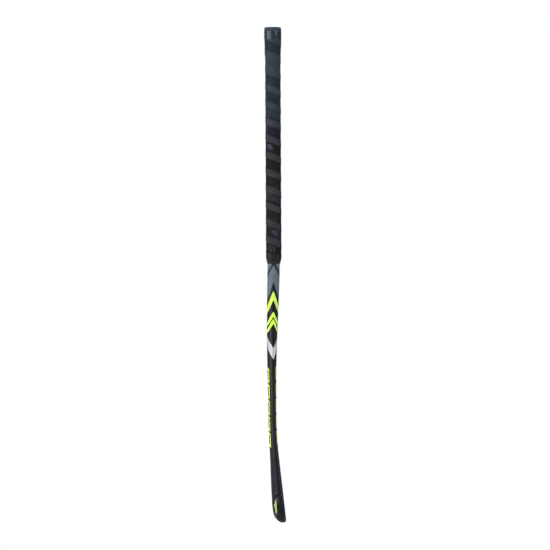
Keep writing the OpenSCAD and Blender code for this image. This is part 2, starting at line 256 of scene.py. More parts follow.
def slab_parts(outer: np.ndarray, inner: np.ndarray, first: int = 0) -> tuple[np.ndarray, list[tuple[int, ...]]]:
    """Vertices and faces of the closed solid between two grids of points.

    Args:
        outer: Outer grid, as rows, columns and coordinates.
        inner: Inner grid of the same shape.
        first: Number of the first vertex, for joining several slabs in one mesh.

    Returns:
        The vertices and the faces.
    """
    rows, cols, _ = outer.shape
    k = rows * cols
    grid = [
        (j * cols + i, j * cols + i + 1, (j + 1) * cols + i + 1, (j + 1) * cols + i)
        for j in range(rows - 1)
        for i in range(cols - 1)
    ]
    rim = [(i, i + 1) for i in range(cols - 1)]
    rim += [((j + 1) * cols - 1, (j + 2) * cols - 1) for j in range(rows - 1)]
    rim += [((rows - 1) * cols + i, (rows - 1) * cols + i - 1) for i in range(cols - 1, 0, -1)]
    rim += [(j * cols, (j - 1) * cols) for j in range(rows - 1, 0, -1)]
    faces = grid + [tuple(v + k for v in reversed(f)) for f in grid]
    faces += [(b, a, a + k, b + k) for a, b in rim]
    points = np.concatenate([outer.reshape(-1, 3), inner.reshape(-1, 3)])
    return points, [tuple(v + first for v in f) for f in faces]


def join_slabs(name: str, slabs: Sequence[Pair]) -> Object:
    """One object out of several slabs, each given as its outer and inner grid."""
    points, faces, first = [], [], 0
    for outer, inner in slabs:
        part, part_faces = slab_parts(outer, inner, first)
        points.append(part)
        faces += part_faces
        first += len(part)
    return make_object(name, np.concatenate(points), faces)


def lathe(name: str, profile: Sequence[tuple[float, float]], sides: int = 128) -> Object:
    """A turned piece round the handle's axis.

    Args:
        name: Name of the piece.
        profile: Closed outline as radius and height, without its point on the axis repeated.
        sides: Number of sides.

    Returns:
        The new object.
    """
    a = np.linspace(0, TURN, sides, endpoint=False)
    outline = np.array(profile)
    r, z = outline[:, 0][None, :], outline[:, 1][None, :]
    grid = np.stack([r * np.sin(a)[:, None], -r * np.cos(a)[:, None], np.broadcast_to(z, (sides, len(outline)))], -1)
    n = len(outline)
    faces = [
        (j * n + i, j * n + (i + 1) % n, (j + 1) % sides * n + (i + 1) % n, (j + 1) % sides * n + i)
        for j in range(sides)
        for i in range(n)
    ]
    made = make_object(name, grid.reshape(-1, 3), faces)
    tidy = bmesh.new()
    tidy.from_mesh(made.data)
    bmesh.ops.remove_doubles(tidy, verts=tidy.verts, dist=1e-7)
    bmesh.ops.dissolve_degenerate(tidy, edges=tidy.edges, dist=1e-7)
    tidy.to_mesh(made.data)
    tidy.free()
    made.data.set_sharp_from_angle(angle=SHARP)
    return made


def arc(r: float, z: float, radius: float, start: float, end: float, count: int = 8) -> list[tuple[float, float]]:
    """Points of an arc in a turned profile.

    Args:
        r: Radius of the arc's centre from the axis.
        z: Height of the arc's centre.
        radius: Radius of the arc.
        start: First angle in degrees, 0 outwards and 90 up.
        end: Last angle in degrees.
        count: Number of steps.

    Returns:
        The points as radius and height.
    """
    angles = np.radians(np.linspace(start, end, count + 1))
    return [(r + radius * math.cos(a), z + radius * math.sin(a)) for a in angles]


# ---------------------------------------------------------------- shader building

class Nodes:
    """Writes nodes into a material's or a group's tree, from left to right."""

    def __init__(self, tree: Tree) -> None:
        """Starts with an empty tree."""
        self.tree = tree
        tree.nodes.clear()
        self.column = 0

    def add(self, kind: str, inputs: dict | None = None, **settings: object) -> Node:
        """Adds a node.

        Args:
            kind: Blender's type name of the node, without ShaderNode.
            inputs: Values or source sockets by input name or number.
            **settings: The node's own properties.

        Returns:
            The node.
        """
        node = self.tree.nodes.new(kind if kind.startswith("Node") else "ShaderNode" + kind)
        node.location = (self.column * 190, -(self.column % 3) * 160)
        self.column += 1
        for key, value in settings.items():
            setattr(node, key, value)
        for key, value in (inputs or {}).items():
            if isinstance(value, Socket):
                self.tree.links.new(value, node.inputs[key])
            else:
                node.inputs[key].default_value = value
        return node

    def math(self, operation: str, a: object, b: object = 0.0, clamp: bool = False) -> Socket:
        """Result of a math node on two values or sockets."""
        return self.add("Math", {0: a, 1: b}, operation=operation, use_clamp=clamp).outputs[0]

    def step(self, value: object, low: float, high: float) -> Socket:
        """A smooth step from 0 at low to 1 at high."""
        return self.add("MapRange", {0: value, 1: low, 2: high}, interpolation_type="SMOOTHSTEP").outputs[0]

    def mix(self, share: object, a: object, b: object) -> Socket:
        """Result of a colour mix; plain colours are given with three values."""
        node = self.add("Mix", data_type="RGBA")
        for key, value in ((0, share), (6, a), (7, b)):
            if isinstance(value, Socket):
                self.tree.links.new(value, node.inputs[key])
            else:
                node.inputs[key].default_value = (*value, 1.0) if isinstance(value, tuple) else value
        return node.outputs[2]

    def noise(self, where: object, scale: object, detail: float = 3.0) -> Socket:
        """Value of a noise texture."""
        return self.add("TexNoise", {"Vector": where, "Scale": scale, "Detail": detail}).outputs[0]

    def group(self, tree: Tree, **inputs: object) -> Node:
        """Places a shader node group; underscores in the input names stand for spaces."""
        node = self.add("Group", node_tree=tree)
        for key, value in inputs.items():
            socket = node.inputs[key.replace("_", " ")]
            if isinstance(value, Socket):
                self.tree.links.new(value, socket)
            else:
                socket.default_value = (*value, 1.0) if isinstance(value, tuple) and len(value) == 3 else value
        return node


class Effect(Enum):
    """The effects that several finishes share, by the name of their node group."""

    GRAIN = "fine_grain"
    DRIFT = "colour_drift"
    WEAR = "handling_wear"
    WEAVE = "twill_weave"


def new_group(effect: Effect, inputs: dict[str, tuple[str, object]], outputs: dict[str, str]) -> Tree:
    """Makes an empty node group with named sockets.

    Args:
        effect: Which effect it holds.
        inputs: Socket kind and default value by name.
        outputs: Socket kind by name.

    Returns:
        The group's tree.
    """
    tree = bpy.data.node_groups.new(effect.value, "ShaderNodeTree")
    for name, (kind, default) in inputs.items():
        socket = tree.interface.new_socket(name=name, in_out="INPUT", socket_type=kind)
        if default is not None:
            socket.default_value = default
    for name, kind in outputs.items():
        tree.interface.new_socket(name=name, in_out="OUTPUT", socket_type=kind)
    return tree


class Effects:
    """Builds each shared effect once and hands out its node group."""

    FLOAT = "NodeSocketFloat"
    COLOUR = "NodeSocketColor"
    VECTOR = "NodeSocketVector"

    def __init__(self) -> None:
        """Builds all the groups."""
        self.trees = {
            Effect.GRAIN: self._grain(),
            Effect.DRIFT: self._drift(),
            Effect.WEAR: self._wear(),
            Effect.WEAVE: self._weave(),
        }

    def __getitem__(self, effect: Effect) -> Tree:
        """The node group of an effect."""
        return self.trees[effect]

    def _open(self, tree: Tree) -> tuple[Nodes, Node]:
        """Starts a group's tree and returns its writer and its input node."""
        nodes = Nodes(tree)
        return nodes, nodes.add("NodeGroupInput")

    def _grain(self) -> Tree:
        """Fine pores and lumps of a moulded or sprayed surface, as a height."""
        tree = new_group(
            Effect.GRAIN,
            {"Where": (self.VECTOR, None), "Scale": (self.FLOAT, 900.0), "Pores": (self.FLOAT, 0.5)},
            {"Height": self.FLOAT},
        )
        nodes, given = self._open(tree)
        lumps = nodes.noise(given.outputs[0], given.outputs[1], 4.0)
        cells = nodes.add("TexVoronoi", {"Vector": given.outputs[0], "Scale": given.outputs[1]})
        pores = nodes.math("MULTIPLY", cells.outputs[0], given.outputs[2])
        height = nodes.math("SUBTRACT", lumps, pores)
        nodes.add("NodeGroupOutput", {0: height})
        return tree

    def _drift(self) -> Tree:
        """A slow change between two colours, with a finer mottle over it."""
        tree = new_group(
            Effect.DRIFT,
            {
                "Where": (self.VECTOR, None),
                "Base": (self.COLOUR, (0.5, 0.5, 0.5, 1)),
                "Other": (self.COLOUR, (0.4, 0.4, 0.4, 1)),
                "Scale": (self.FLOAT, 30.0),
                "Amount": (self.FLOAT, 0.5),
            },
            {"Colour": self.COLOUR, "Mask": self.FLOAT},
        )
        nodes, given = self._open(tree)
        slow = nodes.noise(given.outputs[0], given.outputs[3], 2.0)
        finer = nodes.math("MULTIPLY", given.outputs[3], 9.0)
        fine = nodes.noise(given.outputs[0], finer, 4.0)
        both = nodes.math("ADD", nodes.math("MULTIPLY", slow, 0.7), nodes.math("MULTIPLY", fine, 0.3))
        mask = nodes.math("MULTIPLY", nodes.step(both, 0.35, 0.65), given.outputs[4], clamp=True)
        nodes.add("NodeGroupOutput", {0: nodes.mix(mask, given.outputs[1], given.outputs[2]), 1: mask})
        return tree

    def _wear(self) -> Tree:
        """Faint rubbed patches and hair-fine scratches from handling."""
        tree = new_group(
            Effect.WEAR,
            {"Where": (self.VECTOR, None), "Patch Scale": (self.FLOAT, 25.0), "Amount": (self.FLOAT, 0.3)},
            {"Mask": self.FLOAT, "Scratch": self.FLOAT},
        )
        nodes, given = self._open(tree)
        patch = nodes.noise(given.outputs[0], given.outputs[1], 5.0)
        mask = nodes.math("MULTIPLY", nodes.step(patch, 0.52, 0.72), given.outputs[2], clamp=True)
        along = nodes.add("Mapping", {"Vector": given.outputs[0], "Scale": (900.0, 900.0, 22.0)})
        hair = nodes.noise(along.outputs[0], 1.0, 2.0)
        scratch = nodes.math("MULTIPLY", nodes.step(hair, 0.66, 0.72), given.outputs[2], clamp=True)
        nodes.add("NodeGroupOutput", {0: mask, 1: scratch})
        return tree

    def _weave(self) -> Tree:
        """A twill of tows: a mask that changes from tow to tow and a rounded height."""
        tree = new_group(
            Effect.WEAVE,
            {"Where": (self.VECTOR, None), "Tow": (self.FLOAT, 0.002)},
            {"Mask": self.FLOAT, "Height": self.FLOAT},
        )
        nodes, given = self._open(tree)
        parts = nodes.add("SeparateXYZ", {0: given.outputs[0]})
        u = nodes.math("DIVIDE", parts.outputs[1], given.outputs[1])
        v = nodes.math("DIVIDE", parts.outputs[2], given.outputs[1])
        lane = nodes.math("ADD", nodes.math("FLOOR", u), nodes.math("FLOOR", v))
        over = nodes.math("LESS_THAN", nodes.math("FLOORED_MODULO", lane, 4.0), 2.0)
        bump_u = nodes.math("PINGPONG", u, 0.5)
        bump_v = nodes.math("PINGPONG", v, 0.5)
        first = nodes.math("MULTIPLY", over, bump_u)
        second = nodes.math("MULTIPLY", nodes.math("SUBTRACT", 1.0, over), bump_v)
        nodes.add("NodeGroupOutput", {0: over, 1: nodes.math("ADD", first, second)})
        return tree


@dataclass(frozen=True)
class Gloss:
    """The constant values on a finish's shader."""

    roughness: float = 0.5
    coat: float = 0.0
    coat_roughness: float = 0.1
    specular: float = 0.5
    metallic: float = 0.0


@dataclass(frozen=True)
class Finish:
    """Base of every finish: a named material with one principled shader."""

    name: str
    gloss: Gloss = Gloss()

    def build(self, effects: Effects) -> Material:
        """Makes the material, or returns it if it is already there.

        Args:
            effects: The shared node groups.

        Returns:
            The material.
        """
        title = self.name + "_finish"
        if title in bpy.data.materials:
            return bpy.data.materials[title]
        made = bpy.data.materials.new(title)
        made.use_nodes = True
        nodes = Nodes(made.node_tree)
        shader = nodes.add("BsdfPrincipled")
        shader.inputs["Roughness"].default_value = self.gloss.roughness
        shader.inputs["Coat Weight"].default_value = self.gloss.coat
        shader.inputs["Coat Roughness"].default_value = self.gloss.coat_roughness
        shader.inputs["Specular IOR Level"].default_value = self.gloss.specular
        shader.inputs["Metallic"].default_value = self.gloss.metallic
        where = nodes.add("TexCoord").outputs["Object"]
        self.dress(nodes, shader, where, effects)
        nodes.add("OutputMaterial", {0: shader.outputs[0]})
        return made

    def dress(self, nodes: Nodes, shader: Node, where: Socket, effects: Effects) -> None:
        """Links the finish's changing colour, roughness and height to the shader."""
        raise NotImplementedError

    @staticmethod
    def link(nodes: Nodes, socket: Socket, shader: Node, name: str) -> None:
        """Links a socket to one of the shader's inputs."""
        nodes.tree.links.new(socket, shader.inputs[name])

    @staticmethod
    def bump(nodes: Nodes, height: Socket, shader: Node, distance: float) -> None:
        """Feeds a height to the shader's normal through a bump node."""
        made = nodes.add("Bump", {"Height": height, "Distance": distance, "Strength": 1.0})
        nodes.tree.links.new(made.outputs[0], shader.inputs["Normal"])


@dataclass(frozen=True)
class LacqueredLaminate(Finish):
    """Satin black lacquer over the laminate with fine scuffs on the head; its faint violet tint is partly painted sheen
    of the key light, spread by a random drift.
    """

    # The violet tint in these two colours is painted sheen of the key light; the random drift between them is the
    # lacquer's own tone.
    base: Colour = (0.0070, 0.0070, 0.0110)
    tone_and_painted_sheen: Colour = (0.0125, 0.0115, 0.0180)
    head_top: float = -0.84
    head_blend: float = 0.08

    def dress(self, nodes: Nodes, shader: Node, where: Socket, effects: Effects) -> None:
        """Slow colour drift, orange-peel height and rubbed patches towards the head."""
        drift = nodes.group(effects[Effect.DRIFT], Where=where, Base=self.base, Other=self.tone_and_painted_sheen, Scale=18.0, Amount=0.6)
        wear = nodes.group(effects[Effect.WEAR], Where=where, Patch_Scale=30.0, Amount=0.15)
        height_z = nodes.add("SeparateXYZ", {0: where}).outputs[2]
        on_head = nodes.step(height_z, self.head_top, self.head_top - self.head_blend)
        rubbed = nodes.math("MULTIPLY", wear.outputs[0], on_head)
        colour = nodes.mix(nodes.math("MULTIPLY", rubbed, 0.35), drift.outputs[0], BARE)
        self.link(nodes, colour, shader, "Base Color")
        rough = nodes.math("ADD", self.gloss.roughness, nodes.math("MULTIPLY", rubbed, 0.25))
        rough = nodes.math("ADD", rough, nodes.math("MULTIPLY", drift.outputs[1], 0.05))
        self.link(nodes, rough, shader, "Roughness")
        grain = nodes.group(effects[Effect.GRAIN], Where=where, Scale=420.0, Pores=0.1)
        height = nodes.math("SUBTRACT", grain.outputs[0], nodes.math("MULTIPLY", wear.outputs[1], 0.5))
        self.bump(nodes, height, shader, 0.000015)


@dataclass(frozen=True)
class PrintedFilm(Finish):
    """A transfer film in one colour, with the slight mottle of printed ink."""

    base: Colour = (0.6, 0.6, 0.6)
    other: Colour = (0.5, 0.5, 0.5)
    flake: float = 0.0

    def dress(self, nodes: Nodes, shader: Node, where: Socket, effects: Effects) -> None:
        """Ink mottle, metal flake where the ink has it, and worn pinholes."""
        drift = nodes.group(
            effects[Effect.DRIFT], Where=where, Base=self.base, Other=self.other, Scale=60.0, Amount=0.7)
        wear = nodes.group(effects[Effect.WEAR], Where=where, Patch_Scale=90.0, Amount=0.5)
        speck = nodes.noise(where, 2600.0, 1.0)
        glint = nodes.math("MULTIPLY", nodes.step(speck, 0.55, 0.75), self.flake)
        colour = nodes.mix(glint, drift.outputs[0], (0.95, 0.96, 1.0))
        colour = nodes.mix(nodes.math("MULTIPLY", wear.outputs[1], 0.4), colour, BARE)
        self.link(nodes, colour, shader, "Base Color")
        rough = nodes.math("ADD", self.gloss.roughness, nodes.math("MULTIPLY", drift.outputs[1], 0.08))
        self.link(nodes, rough, shader, "Roughness")
        grain = nodes.group(effects[Effect.GRAIN], Where=where, Scale=700.0, Pores=0.1)
        self.bump(nodes, grain.outputs[0], shader, 0.00003)


@dataclass(frozen=True)
class WoundTape(Finish):
    """Matt polyurethane grip tape: a dark field, a paler overlapped band, fine cross grain and vents, with painted
    light making field and band lighter and bluer towards the top.
    """

    field_low: Colour = (0.0080, 0.0088, 0.0108)
    field_painted_top_light: Colour = (0.0190, 0.0270, 0.0400)
    band_low: Colour = (0.0370, 0.0385, 0.0430)
    band_painted_top_light: Colour = (0.0420, 0.0530, 0.0670)
    grime: Colour = (0.008, 0.009, 0.010)
    band_start: float = 31.5 * MM
    z_low: float = -0.24
    z_high: float = -0.10
    turn_length: float = TURN * 14.8 * MM
    pale_turn: float = -3.0

    def dress(self, nodes: Nodes, shader: Node, where: Socket, effects: Effects) -> None:
        """Colours by place across the tape, painted light that makes the top of the grip lighter and bluer, and grain
        that follows the winding.
        """
        tape = nodes.add("UVMap", uv_map="tape").outputs[0]
        parts = nodes.add("SeparateXYZ", {0: tape})
        along, across = parts.outputs[0], parts.outputs[1]
        height_z = nodes.add("SeparateXYZ", {0: where}).outputs[2]
        # Painted light from above: between z_low and z_high the field and band colours turn lighter and bluer towards
        # the top of the grip.
        up = nodes.step(height_z, self.z_low, self.z_high)
        dark = nodes.mix(up, self.field_low, self.field_painted_top_light)
        pale = nodes.mix(up, self.band_low, self.band_painted_top_light)
        wobble = nodes.math("MULTIPLY", nodes.math("SUBTRACT", nodes.noise(where, 70.0), 0.5), 3 * MM)
        edge = nodes.math("ADD", across, wobble)
        band = nodes.step(edge, self.band_start, self.band_start + 3.0 * MM)
        turn = nodes.math("DIVIDE", along, self.turn_length)
        apart = nodes.math("ABSOLUTE", nodes.math("SUBTRACT", turn, self.pale_turn))
        band = nodes.math("MAXIMUM", band, nodes.step(apart, 0.50, 0.40))
        colour = nodes.mix(band, dark, pale)
        wear = nodes.group(effects[Effect.WEAR], Where=where, Patch_Scale=45.0, Amount=0.6)
        colour = nodes.mix(nodes.math("MULTIPLY", wear.outputs[0], 0.35), colour, (0.075, 0.080, 0.088))
        mottle = nodes.math("MULTIPLY", nodes.math("SUBTRACT", nodes.noise(where, 600.0, 4.0), 0.5), 0.9)
        dull = nodes.mix(0.35, colour, self.grime)
        colour = nodes.mix(nodes.math("ADD", 0.5, mottle, clamp=True), dull, colour)
        self.link(nodes, colour, shader, "Base Color")
        rough = nodes.math("SUBTRACT", self.gloss.roughness, nodes.math("MULTIPLY", wear.outputs[0], 0.12))
        self.link(nodes, rough, shader, "Roughness")
        self.bump(nodes, self._height(nodes, along, across, where, effects), shader, 0.00022)

    @staticmethod
    def _height(nodes: Nodes, along: object, across: object, where: object, effects: Effects) -> Socket:
        """Height of the tape's grain.

        Args:
            nodes: Writer of the material's tree.
            along: Distance along the tape.
            across: Distance across the tape.
            where: Place in the frame.
            effects: The shared node groups.

        Returns:
            The height, about 0 to 1.
        """
        lean = nodes.math("ADD", along, nodes.math("MULTIPLY", across, 0.55))
        ribs = nodes.math("PINGPONG", nodes.math("DIVIDE", lean, 1.3 * MM), 0.5)
        column = nodes.math("SUBTRACT", nodes.math("FLOORED_MODULO", nodes.math("DIVIDE", along, 4 * MM), 1.0), 0.5)
        row = nodes.math("SUBTRACT", nodes.math("FLOORED_MODULO", nodes.math("DIVIDE", across, 4 * MM), 1.0), 0.5)
        square = nodes.math("ADD", nodes.math("MULTIPLY", column, column), nodes.math("MULTIPLY", row, row))
        apart = nodes.math("SQRT", square)
        vent = nodes.step(apart, 0.10, 0.16)
        grain = nodes.group(effects[Effect.GRAIN], Where=where, Scale=1500.0, Pores=0.4)
        height = nodes.math("ADD", nodes.math("MULTIPLY", ribs, 0.5), nodes.math("MULTIPLY", grain.outputs[0], 0.5))
        return nodes.math("ADD", height, nodes.math("MULTIPLY", vent, 0.6))


@dataclass(frozen=True)
class MouldedPolymer(Finish):
    """Moulded polymer or rubber: a fine spark-eroded grain, slow drift and rubbed patches."""

    base: Colour = (0.05, 0.05, 0.05)
    other: Colour = (0.04, 0.04, 0.04)
    grain_scale: float = 1400.0
    depth: float = 0.00006
    wear: float = 0.4
    worn: Colour = (0.12, 0.125, 0.13)

    def dress(self, nodes: Nodes, shader: Node, where: Socket, effects: Effects) -> None:
        """Drift, rubbed patches and grain."""
        drift = nodes.group(
            effects[Effect.DRIFT], Where=where, Base=self.base, Other=self.other, Scale=55.0, Amount=0.8)
        wear = nodes.group(effects[Effect.WEAR], Where=where, Patch_Scale=80.0, Amount=self.wear)
        colour = nodes.mix(nodes.math("MULTIPLY", wear.outputs[0], 0.4), drift.outputs[0], self.worn)
        self.link(nodes, colour, shader, "Base Color")
        rough = nodes.math("ADD", self.gloss.roughness, nodes.math("MULTIPLY", drift.outputs[1], 0.08))
        self.link(nodes, rough, shader, "Roughness")
        grain = nodes.group(effects[Effect.GRAIN], Where=where, Scale=self.grain_scale, Pores=0.4)
        self.bump(nodes, grain.outputs[0], shader, self.depth)


@dataclass(frozen=True)
class WovenLaminate(Finish):
    """Resin-soaked twill, for the tubes and the reinforcing ply."""

    warp: Colour = (0.02, 0.02, 0.02)
    weft: Colour = (0.04, 0.04, 0.04)
    tow: float = 2.2 * MM

    def dress(self, nodes: Nodes, shader: Node, where: Socket, effects: Effects) -> None:
        """Twill mask for colour and roughness, and rounded tows for height."""
        turned = nodes.add("Mapping", {"Vector": where, "Rotation": (math.radians(45), 0.0, 0.0)}).outputs[0]
        weave = nodes.group(effects[Effect.WEAVE], Where=turned, Tow=self.tow)
        self.link(nodes, nodes.mix(weave.outputs[0], self.warp, self.weft), shader, "Base Color")
        rough = nodes.math("ADD", self.gloss.roughness, nodes.math("MULTIPLY", weave.outputs[0], 0.12))
        self.link(nodes, rough, shader, "Roughness")
        self.bump(nodes, weave.outputs[1], shader, 0.00012)


@dataclass(frozen=True)
class Finishes:
    """Every finish of the stick, by what it is on."""

    laminate: Finish = LacqueredLaminate(
        "lacquered_laminate", Gloss(roughness=0.42, coat=0.08, coat_roughness=0.25, specular=0.16))
    lime: Finish = PrintedFilm(
        "lime_film", Gloss(roughness=0.42, specular=0.2), base=(0.68, 0.98, 0.105), other=(0.62, 0.93, 0.080))
    toe_lime: Finish = PrintedFilm(
        "toe_lime_film", Gloss(roughness=0.45, specular=0.35), base=(0.46, 0.63, 0.15), other=(0.40, 0.56, 0.12))
    grey: Finish = PrintedFilm(
        "grey_film", Gloss(roughness=0.46, specular=0.12), base=(0.134, 0.164, 0.193), other=(0.108, 0.134, 0.160))
    silver: Finish = PrintedFilm(
        "silver_film", Gloss(roughness=0.42, specular=0.3, metallic=0.1), base=(0.500, 0.522, 0.530),
        other=(0.440, 0.460, 0.468), flake=0.4)
    pale: Finish = PrintedFilm(
        "pale_film", Gloss(roughness=0.42), base=(0.15, 0.16, 0.175), other=(0.11, 0.12, 0.13))
    tape: Finish = WoundTape("wound_grip_tape", Gloss(roughness=0.78, specular=0.12))
    emboss: Finish = MouldedPolymer(
        "embossed_tape", Gloss(roughness=0.62, specular=0.2), base=(0.036, 0.041, 0.050), other=(0.028, 0.033, 0.041))
    dark_emboss: Finish = MouldedPolymer(
        "dark_embossed_tape", Gloss(roughness=0.62, specular=0.2), base=(0.018, 0.023, 0.031),
        other=(0.014, 0.018, 0.025))
    cap: Finish = MouldedPolymer(
        "cap_polymer", Gloss(roughness=0.55, specular=0.15), base=(0.042, 0.056, 0.073),
        other=(0.034, 0.046, 0.061), wear=0.15)
    gloss_tape: Finish = MouldedPolymer(
        "glossy_tape", Gloss(roughness=0.30, coat=0.18, coat_roughness=0.16, specular=0.25), base=(0.021, 0.030, 0.041),
        other=(0.018, 0.026, 0.036), grain_scale=500.0, depth=0.00002, wear=0.15)
    end_band: Finish = MouldedPolymer(
        "end_band_polymer", Gloss(roughness=0.6, specular=0.2), base=(0.0088, 0.0096, 0.0120),
        other=(0.0095, 0.0102, 0.0128))
    foam: Finish = MouldedPolymer(
        "rigid_foam", Gloss(roughness=0.9, specular=0.2), base=(0.72, 0.66, 0.48), other=(0.62, 0.56, 0.40),
        grain_scale=1100.0, depth=0.0003, worn=(0.5, 0.44, 0.3))
    rubber: Finish = MouldedPolymer(
        "damper_rubber", Gloss(roughness=0.7, specular=0.3), base=(0.10, 0.10, 0.11), other=(0.08, 0.08, 0.09))
    cushion: Finish = MouldedPolymer(
        "cushion_foam", Gloss(roughness=0.85, specular=0.2), base=(0.07, 0.075, 0.08), other=(0.055, 0.06, 0.065),
        grain_scale=2200.0, depth=0.0002)
    tube: Finish = WovenLaminate(
        "tube_laminate", Gloss(roughness=0.35, coat=0.3), warp=(0.020, 0.020, 0.022), weft=(0.045, 0.045, 0.050))
    ply: Finish = WovenLaminate(
        "aramid_ply", Gloss(roughness=0.5), warp=(0.55, 0.38, 0.06), weft=(0.66, 0.50, 0.12), tow=1.6 * MM)


# ---------------------------------------------------------------- sub-assemblies

def place(piece: Object, finish: Material, slot: str, *nodes: str) -> Object:
    """Dresses a new piece and ties it to the frame.

    Args:
        piece: The new object.
        finish: Its material.
        slot: Name of the record's material slot; not used.
        *nodes: The CAD nodes that it stands for.

    Returns:
        The same object.
    """
    piece.data.materials.clear()
    piece.data.materials.append(finish)
    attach(piece, BODY)
    if nodes:
        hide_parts(*nodes)
    LOG.info("%s: %d faces, stands for %s", piece.name, len(piece.data.polygons), ", ".join(nodes) or "itself")
    return piece


@dataclass
class Laminate:
    """The outer laminate: one hollow lacquered shell from butt to toe."""

    form: StickForm
    finishes: Finishes
    effects: Effects
    top: float = 9 * MM
    wall: float = 2.2 * MM
    sides: int = 144

    def build(self) -> Object:
        """Makes and dresses the shell."""
        f = self.form
        bend_end = f.path_end - f.toe_tip
        tip = bend_end + f.toe_tip * np.sin(np.radians(np.linspace(4, 89, 16)))
        outside = np.concatenate([
            np.linspace(self.top, f.blend_start, 8)[:-1],
            np.linspace(f.blend_start, f.length - f.face_height, 110)[:-1],
            np.linspace(f.length - f.face_height, bend_end, 90),
            tip,
        ])
        tip_in = bend_end + (f.toe_tip - self.wall) * np.sin(np.radians(np.linspace(20, 85, 4)))
        inside = np.concatenate([
            np.linspace(self.top, f.blend_start, 3)[:-1],
            np.linspace(f.blend_start, f.length - f.face_height, 16)[:-1],
            np.linspace(f.length - f.face_height, bend_end, 20),
            tip_in,
        ])
        angles = np.arange(self.sides) * 360 / self.sides
        rings = np.concatenate([
            f.skin(inside[::-1, None], angles[None, :], self.wall),
            f.skin(outside[:, None], angles[None, :], 0.0),
        ])
        piece = loft("laminate_shell", rings)
        return place(piece, self.finishes.laminate.build(self.effects), "laminate", "outer_laminate")


